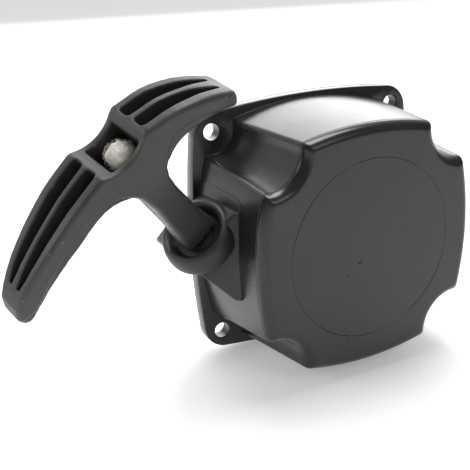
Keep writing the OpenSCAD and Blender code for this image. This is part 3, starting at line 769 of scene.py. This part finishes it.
# The strand, from the wound rope through the eyelet up to the knot
ROPE_R, ROPE_GAP = 1.6, 0.2           # the strand's radius, and its gap to the wound rope
EYELET_IN = 21                        # the eyelet's inner end, below the mouth
groove = [(-y / MM) for y in (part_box("rope_coil")[1][1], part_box("rope_coil")[0][1])]
coil_mid = sum(groove) / 2
COIL_R = (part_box("rope_coil")[1][0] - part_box("rope_coil")[0][0]) / 2 / MM
strand_r = COIL_R + ROPE_R + ROPE_GAP
entry = MOUTH - S * EYELET_IN
ed = math.hypot(entry[0], entry[2])
ta = math.atan2(entry[2], entry[0]) + math.acos(strand_r / ed)
touch = np.array([strand_r * math.cos(ta), -coil_mid, strand_r * math.sin(ta)])
knot_bottom = (KC - MOUTH) @ S - KR + 0.6
route = [touch + (entry - touch) * t for t in np.linspace(0, 0.92, 14)]
route += [MOUTH + S * s for s in np.linspace(-19.5, knot_bottom, 40)]
strand = braid("rope_strand_braid", route, ROPE_R, 20, 6.0, 4, 0.13)
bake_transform(strand)
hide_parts("rope_strand")

# The wound rope: three layers of turns in the reel's groove
WOUND_R = 21.5                        # radius of the groove's bottom
LAYERS, LAYER_TURNS, LAYER_STEP, TURN_STEPS = 3, 3, 2.72, 48
w_in = groove[0] + ROPE_R
w_out = groove[1] - ROPE_R
pts = []
for layer in range(LAYERS):
    r = WOUND_R + ROPE_R + layer * LAYER_STEP
    if r + ROPE_R > COIL_R + 0.05:
        r = COIL_R - ROPE_R
    for i in range(LAYER_TURNS * TURN_STEPS):
        f = i / (LAYER_TURNS * TURN_STEPS)
        x = w_in + (w_out - w_in) * (f if layer % 2 == 0 else 1 - f)
        q = 2 * math.pi * (layer * LAYER_TURNS + f * LAYER_TURNS)
        pts.append((r * math.cos(q), -x, r * math.sin(q)))
wound = braid("rope_wound", pts, ROPE_R, 10, 6.0, 3, 0.1, step=0.9)
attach(wound, "reel")
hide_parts("rope_coil")
lo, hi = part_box("reel_knot")
RC = np.array([(lo[0] + hi[0]) / 2, (lo[1] + hi[1]) / 2, (lo[2] + 4.25 * MM)]) / MM
RR = (hi[0] - lo[0]) / 2 / MM
rk = braid("reel_knot_rope", RC + knot_path(RR * 0.5), 1.55, 14, 6.0, 3, 0.12)
tail_path = [RC + np.array([0, 0, t]) for t in np.linspace(0, 21.4 - RC[2], 8)]
tail = braid("reel_knot_tail", tail_path, 1.55, 14, 6.0, 3, 0.1)
rk = join([rk, tail], "reel_knot_rope")
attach(rk, "reel")
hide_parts("reel_knot")


# ---------------------------------------------------------------- pawl return springs, as coiled wire
WIRE_R, WIRE_SETBACK, COIL_TURNS = 0.2, 0.22, 2
for nd in ("pawl_spring_a", "pawl_spring_b"):
    lo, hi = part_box(nd)
    c = (np.array(lo) + np.array(hi)) / 2 / MM
    r = (hi[0] - lo[0]) / 2 / MM - WIRE_SETBACK
    y0, y1 = lo[1] / MM + WIRE_SETBACK, hi[1] / MM - WIRE_SETBACK
    q = np.linspace(0, 2 * math.pi * COIL_TURNS, 90)
    pts = [(c[0] + r * math.cos(t), y0 + (y1 - y0) * t / q[-1], c[2] + r * math.sin(t)) for t in q]
    sp = tube(nd + "_wire", resample(pts, 0.2, 6)[0], WIRE_R, 8)
    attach(sp, "reel")
    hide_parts(nd)


# ---------------------------------------------------------------- materials
def material(name, rgb, rough, metal=0.0, spec=0.5):
    m = bpy.data.materials.new(name)
    m.use_nodes = True
    nt = m.node_tree
    b = nt.nodes["Principled BSDF"]
    b.inputs["Base Color"].default_value = (*rgb, 1)
    b.inputs["Roughness"].default_value = rough
    b.inputs["Metallic"].default_value = metal
    b.inputs["Specular IOR Level"].default_value = spec
    return m, nt, b


def coords(nt):
    return nt.nodes.new("ShaderNodeTexCoord").outputs["Object"]


def noise(nt, vec, scale, detail=4.0, rough=0.5):
    n = nt.nodes.new("ShaderNodeTexNoise")
    n.inputs["Scale"].default_value = scale
    n.inputs["Detail"].default_value = detail
    n.inputs["Roughness"].default_value = rough
    nt.links.new(vec, n.inputs["Vector"])
    return n.outputs["Fac"]


def ramp(nt, fac, stops):
    r = nt.nodes.new("ShaderNodeValToRGB")
    nt.links.new(fac, r.inputs["Fac"])
    el = r.color_ramp.elements
    while len(el) < len(stops):
        el.new(0.5)
    for e, (p, c) in zip(el, stops):
        e.position = p
        e.color = (*c, 1) if len(c) == 3 else c
    return r.outputs["Color"]


def grey(v):
    return (v, v, v)


def bump(nt, height, bsdf, strength, dist, prev=None):
    n = nt.nodes.new("ShaderNodeBump")
    n.inputs["Strength"].default_value = strength
    n.inputs["Distance"].default_value = dist
    nt.links.new(height, n.inputs["Height"])
    if prev is not None:
        nt.links.new(prev, n.inputs["Normal"])
    nt.links.new(n.outputs["Normal"], bsdf.inputs["Normal"])
    return n.outputs["Normal"]


# Painted highlight: a mask, by pointiness, that lightens the colour on convex edges to stand in for edge
# highlights
def painted_edge_highlight(nt, lo=0.52, hi=0.62):
    g = nt.nodes.new("ShaderNodeNewGeometry")
    r = nt.nodes.new("ShaderNodeMapRange")
    r.inputs["From Min"].default_value = lo
    r.inputs["From Max"].default_value = hi
    nt.links.new(g.outputs["Pointiness"], r.inputs["Value"])
    return r.outputs["Result"]


def mix(nt, fac, a, b):
    m = nt.nodes.new("ShaderNodeMix")
    m.data_type = "RGBA"
    nt.links.new(fac, m.inputs["Factor"])
    for s, v in ((m.inputs["A"], a), (m.inputs["B"], b)):
        if isinstance(v, tuple):
            s.default_value = (*v, 1)
        else:
            nt.links.new(v, s)
    return m.outputs["Result"]


# housing: black moulded plastic, glossy, with faint flow marks, a very fine grain and a painted highlight
# along its edges
m_house, nt, b = material("black_plastic", (0.015, 0.0153, 0.016), 0.24, spec=0.5)
v = coords(nt)
c1 = noise(nt, v, 38, 3)
col = ramp(nt, c1, [(0.3, (0.011, 0.0113, 0.012)), (0.75, (0.017, 0.0174, 0.018))])
# Painted highlight: the base colour is mixed towards a lighter grey on convex edges
nt.links.new(mix(nt, painted_edge_highlight(nt), col, (0.05, 0.05, 0.052)), b.inputs["Base Color"])
near = nt.nodes.new("ShaderNodeVectorMath")
near.operation = "DISTANCE"
nt.links.new(v, near.inputs[0])
near.inputs[1].default_value = tuple((MOUTH - S * 3) * MM)
dull = nt.nodes.new("ShaderNodeMapRange")
dull.inputs["From Min"].default_value, dull.inputs["From Max"].default_value = 0.02, 0.0145
nt.links.new(near.outputs["Value"], dull.inputs["Value"])
gloss = ramp(nt, noise(nt, v, 60, 4, 0.6), [(0.25, grey(0.2)), (0.8, grey(0.3))])
nt.links.new(mix(nt, dull.outputs["Result"], gloss, grey(0.5)), b.inputs["Roughness"])
n1 = bump(nt, noise(nt, v, 900, 2), b, 0.05, 0.0001)
bump(nt, noise(nt, v, 22, 2), b, 0.06, 0.0006, n1)

# handle: satin plastic, a little warmer, with a painted highlight along its edges
m_grip, nt, b = material("grip_plastic", (0.032, 0.031, 0.03), 0.46, spec=0.5)
v = coords(nt)
col = ramp(nt, noise(nt, v, 55, 4), [(0.3, (0.028, 0.0275, 0.027)), (0.75, (0.038, 0.037, 0.036))])
# Painted highlight: the base colour is mixed towards a lighter grey on convex edges
nt.links.new(mix(nt, painted_edge_highlight(nt, 0.51, 0.57), col, (0.085, 0.083, 0.08)), b.inputs["Base Color"])
gloss = ramp(nt, noise(nt, v, 120, 5, 0.6), [(0.25, grey(0.4)), (0.8, grey(0.56))])
nt.links.new(gloss, b.inputs["Roughness"])
n1 = bump(nt, noise(nt, v, 1400, 3), b, 0.12, 0.0001)
bump(nt, noise(nt, v, 90, 3), b, 0.08, 0.0003, n1)

# rope: off-white braided nylon
m_rope, nt, b = material("rope_fibre", (0.86, 0.83, 0.74), 0.75, spec=0.3)
b.inputs["Sheen Weight"].default_value = 0.4
v = coords(nt)
fibres = [(0.3, (0.62, 0.57, 0.45)), (0.5, (0.84, 0.81, 0.72)), (0.72, (0.95, 0.94, 0.89))]
nt.links.new(ramp(nt, noise(nt, v, 420, 6, 0.7), fibres), b.inputs["Base Color"])
w = nt.nodes.new("ShaderNodeTexWave")
w.inputs["Scale"].default_value = 520
w.inputs["Distortion"].default_value = 6
nt.links.new(v, w.inputs["Vector"])
n1 = bump(nt, w.outputs["Fac"], b, 0.35, 0.0002)
bump(nt, noise(nt, v, 1200, 4), b, 0.3, 0.0002, n1)


def metal(name, rgb, rough, spread=0.1, scale=300, dirt=0.85):
    """Metal with uneven tone and gloss and a fine drawn grain."""
    m, nt, b = material(name, rgb, rough, metal=1.0)
    v = coords(nt)
    dark = tuple(c * dirt for c in rgb)
    nt.links.new(ramp(nt, noise(nt, v, 70, 6, 0.6), [(0.3, dark), (0.7, rgb)]), b.inputs["Base Color"])
    stops = [(0.25, grey(rough - spread)), (0.8, grey(rough + spread))]
    nt.links.new(ramp(nt, noise(nt, v, scale, 5, 0.6), stops), b.inputs["Roughness"])
    mp = nt.nodes.new("ShaderNodeMapping")
    mp.inputs["Scale"].default_value = (1, 14, 1)
    nt.links.new(v, mp.inputs["Vector"])
    bump(nt, noise(nt, mp.outputs["Vector"], 500, 3), b, 0.12, 0.0001)
    return m


# Metals for the inner pieces, and off-white nylon for the reel
m_zinc = metal("zinc_plate", (0.66, 0.665, 0.65), 0.3)
m_blue = metal("spring_blue", (0.2, 0.22, 0.26), 0.33)
m_sinter = metal("sintered_steel", (0.36, 0.35, 0.34), 0.45, scale=700)
m_reel, nt, b = material("nylon_reel", (0.72, 0.7, 0.64), 0.42)
b.inputs["Subsurface Weight"].default_value = 0.05
b.inputs["Subsurface Radius"].default_value = (0.002, 0.0018, 0.0014)
v = coords(nt)
col = ramp(nt, noise(nt, v, 45, 4), [(0.3, (0.64, 0.62, 0.56)), (0.75, (0.75, 0.735, 0.685))])
nt.links.new(col, b.inputs["Base Color"])
nt.links.new(ramp(nt, noise(nt, v, 160, 4), [(0.3, grey(0.36)), (0.8, grey(0.5))]), b.inputs["Roughness"])
bump(nt, noise(nt, v, 800, 3), b, 0.08, 0.0001)


def dress(ob, m):
    ob.data.materials.clear()
    ob.data.materials.append(m)


dress(housing, m_house)
dress(handle, m_grip)
for ob in (knot, strand, wound, rk):
    dress(ob, m_rope)
# The pieces carried over from the CAD
CAD = {"rope_eyelet": m_zinc, "spring_case": m_zinc, "recoil_spring": m_blue, "centre_sleeve": m_zinc,
       "reel": m_reel, "thrust_washer": m_zinc, "pawl_a": m_sinter, "pawl_b": m_sinter, "pawl_guide": m_zinc,
       "brake_spring": m_blue, "screw_washer": m_zinc, "centre_screw": m_zinc}
for o in list(bpy.data.objects):
    if o.type != "MESH":
        continue
    if o.name in CAD:
        dress(o, CAD[o.name])
    if o.name.startswith("pawl_spring") and o.name.endswith("wire"):
        dress(o, m_blue)

# ---------------------------------------------------------------- camera, from the fitted view
CAM_AT, CAM_LENS = (-0.16038, -0.26101, 0.10691), 63.72
az, el, roll = math.radians(26.793), math.radians(20.697), math.radians(-2.663)
fw = Vector((math.sin(az) * math.cos(el), math.cos(az) * math.cos(el), -math.sin(el)))
r0 = Vector((math.cos(az), -math.sin(az), 0))
u0 = r0.cross(fw)
rv = r0 * math.cos(roll) + u0 * math.sin(roll)
uv = -r0 * math.sin(roll) + u0 * math.cos(roll)
cam_data = bpy.data.cameras.new("camera")
cam_data.sensor_width = 36
cam_data.lens = CAM_LENS
cam_data.clip_start, cam_data.clip_end = 0.01, 20
cam = bpy.data.objects.new("camera", cam_data)
bpy.context.scene.collection.objects.link(cam)
mat = Matrix((rv, uv, -fw)).transposed().to_4x4()
mat.translation = Vector(CAM_AT)
cam.matrix_world = mat
bpy.context.scene.camera = cam

# ---------------------------------------------------------------- floor and light
FLOOR_HALF, FLOOR_GLOW = 30.0, 0.28   # half its side in metres; faint emission that keeps the paper white
floor_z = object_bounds()[0][2]
fl = bpy.data.meshes.new("floor")
corners = [(-1, -1), (1, -1), (1, 1), (-1, 1)]
fl.from_pydata([(x * FLOOR_HALF, y * FLOOR_HALF, floor_z) for x, y in corners], [], [(0, 1, 2, 3)])
floor = bpy.data.objects.new("floor", fl)
bpy.context.scene.collection.objects.link(floor)
m_floor, nt, b = material("floor_paper", (0.93, 0.93, 0.93), 0.85, spec=0.2)
b.inputs["Emission Color"].default_value = (1, 1, 1, 1)
b.inputs["Emission Strength"].default_value = FLOOR_GLOW
floor.data.materials.append(m_floor)

# The camera sees plain white; the light is a grey to white gradient
world = bpy.data.worlds.new("world")
bpy.context.scene.world = world
world.use_nodes = True
wt = world.node_tree
bg = wt.nodes["Background"]
bg.inputs["Color"].default_value = (1, 1, 1, 1)
bg.inputs["Strength"].default_value = 1.0
lit = wt.nodes.new("ShaderNodeBackground")
grad = wt.nodes.new("ShaderNodeTexGradient")
tc = wt.nodes.new("ShaderNodeTexCoord")
mp = wt.nodes.new("ShaderNodeMapping")
mp.inputs["Rotation"].default_value = (0, 0, math.radians(-90))
wt.links.new(tc.outputs["Generated"], mp.inputs["Vector"])
wt.links.new(mp.outputs["Vector"], grad.inputs["Vector"])
cr = wt.nodes.new("ShaderNodeValToRGB")
cr.color_ramp.elements[0].position, cr.color_ramp.elements[0].color = 0.0, (0.2, 0.2, 0.2, 1)
cr.color_ramp.elements[1].position, cr.color_ramp.elements[1].color = 0.8, (1.0, 1.0, 1.0, 1)
wt.links.new(grad.outputs["Fac"], cr.inputs["Fac"])
wt.links.new(cr.outputs["Color"], lit.inputs["Color"])
lp = wt.nodes.new("ShaderNodeLightPath")
mx = wt.nodes.new("ShaderNodeMixShader")
wt.links.new(lp.outputs["Is Camera Ray"], mx.inputs["Fac"])
wt.links.new(lit.outputs["Background"], mx.inputs[1])
wt.links.new(bg.outputs["Background"], mx.inputs[2])
wt.links.new(mx.outputs["Shader"], wt.nodes["World Output"].inputs["Surface"])


def area(name, loc, target, size, power, size_y=None):
    d = bpy.data.lights.new(name, "AREA")
    d.shape = "RECTANGLE"
    d.size, d.size_y = size, size_y or size
    d.energy = power
    o = bpy.data.objects.new(name, d)
    bpy.context.scene.collection.objects.link(o)
    o.location = loc
    o.rotation_euler = (Vector(target) - Vector(loc)).to_track_quat("-Z", "Y").to_euler()


area("back_soft", (0.35, 1.0, 0.5), (0, 0, 0.03), 1.3, 9.5, 0.7)
area("top_soft", (0.15, 0.1, 0.8), (0, 0, 0), 0.4, 4.8)
area("left_soft", (-0.62, 0.1, 0.3), (-0.03, 0, 0.02), 0.3, 0.9)
area("front_soft", (0.25, -0.9, 0.7), (0, 0, 0), 0.5, 1.6)

bpy.context.scene.view_settings.view_transform = "Standard"
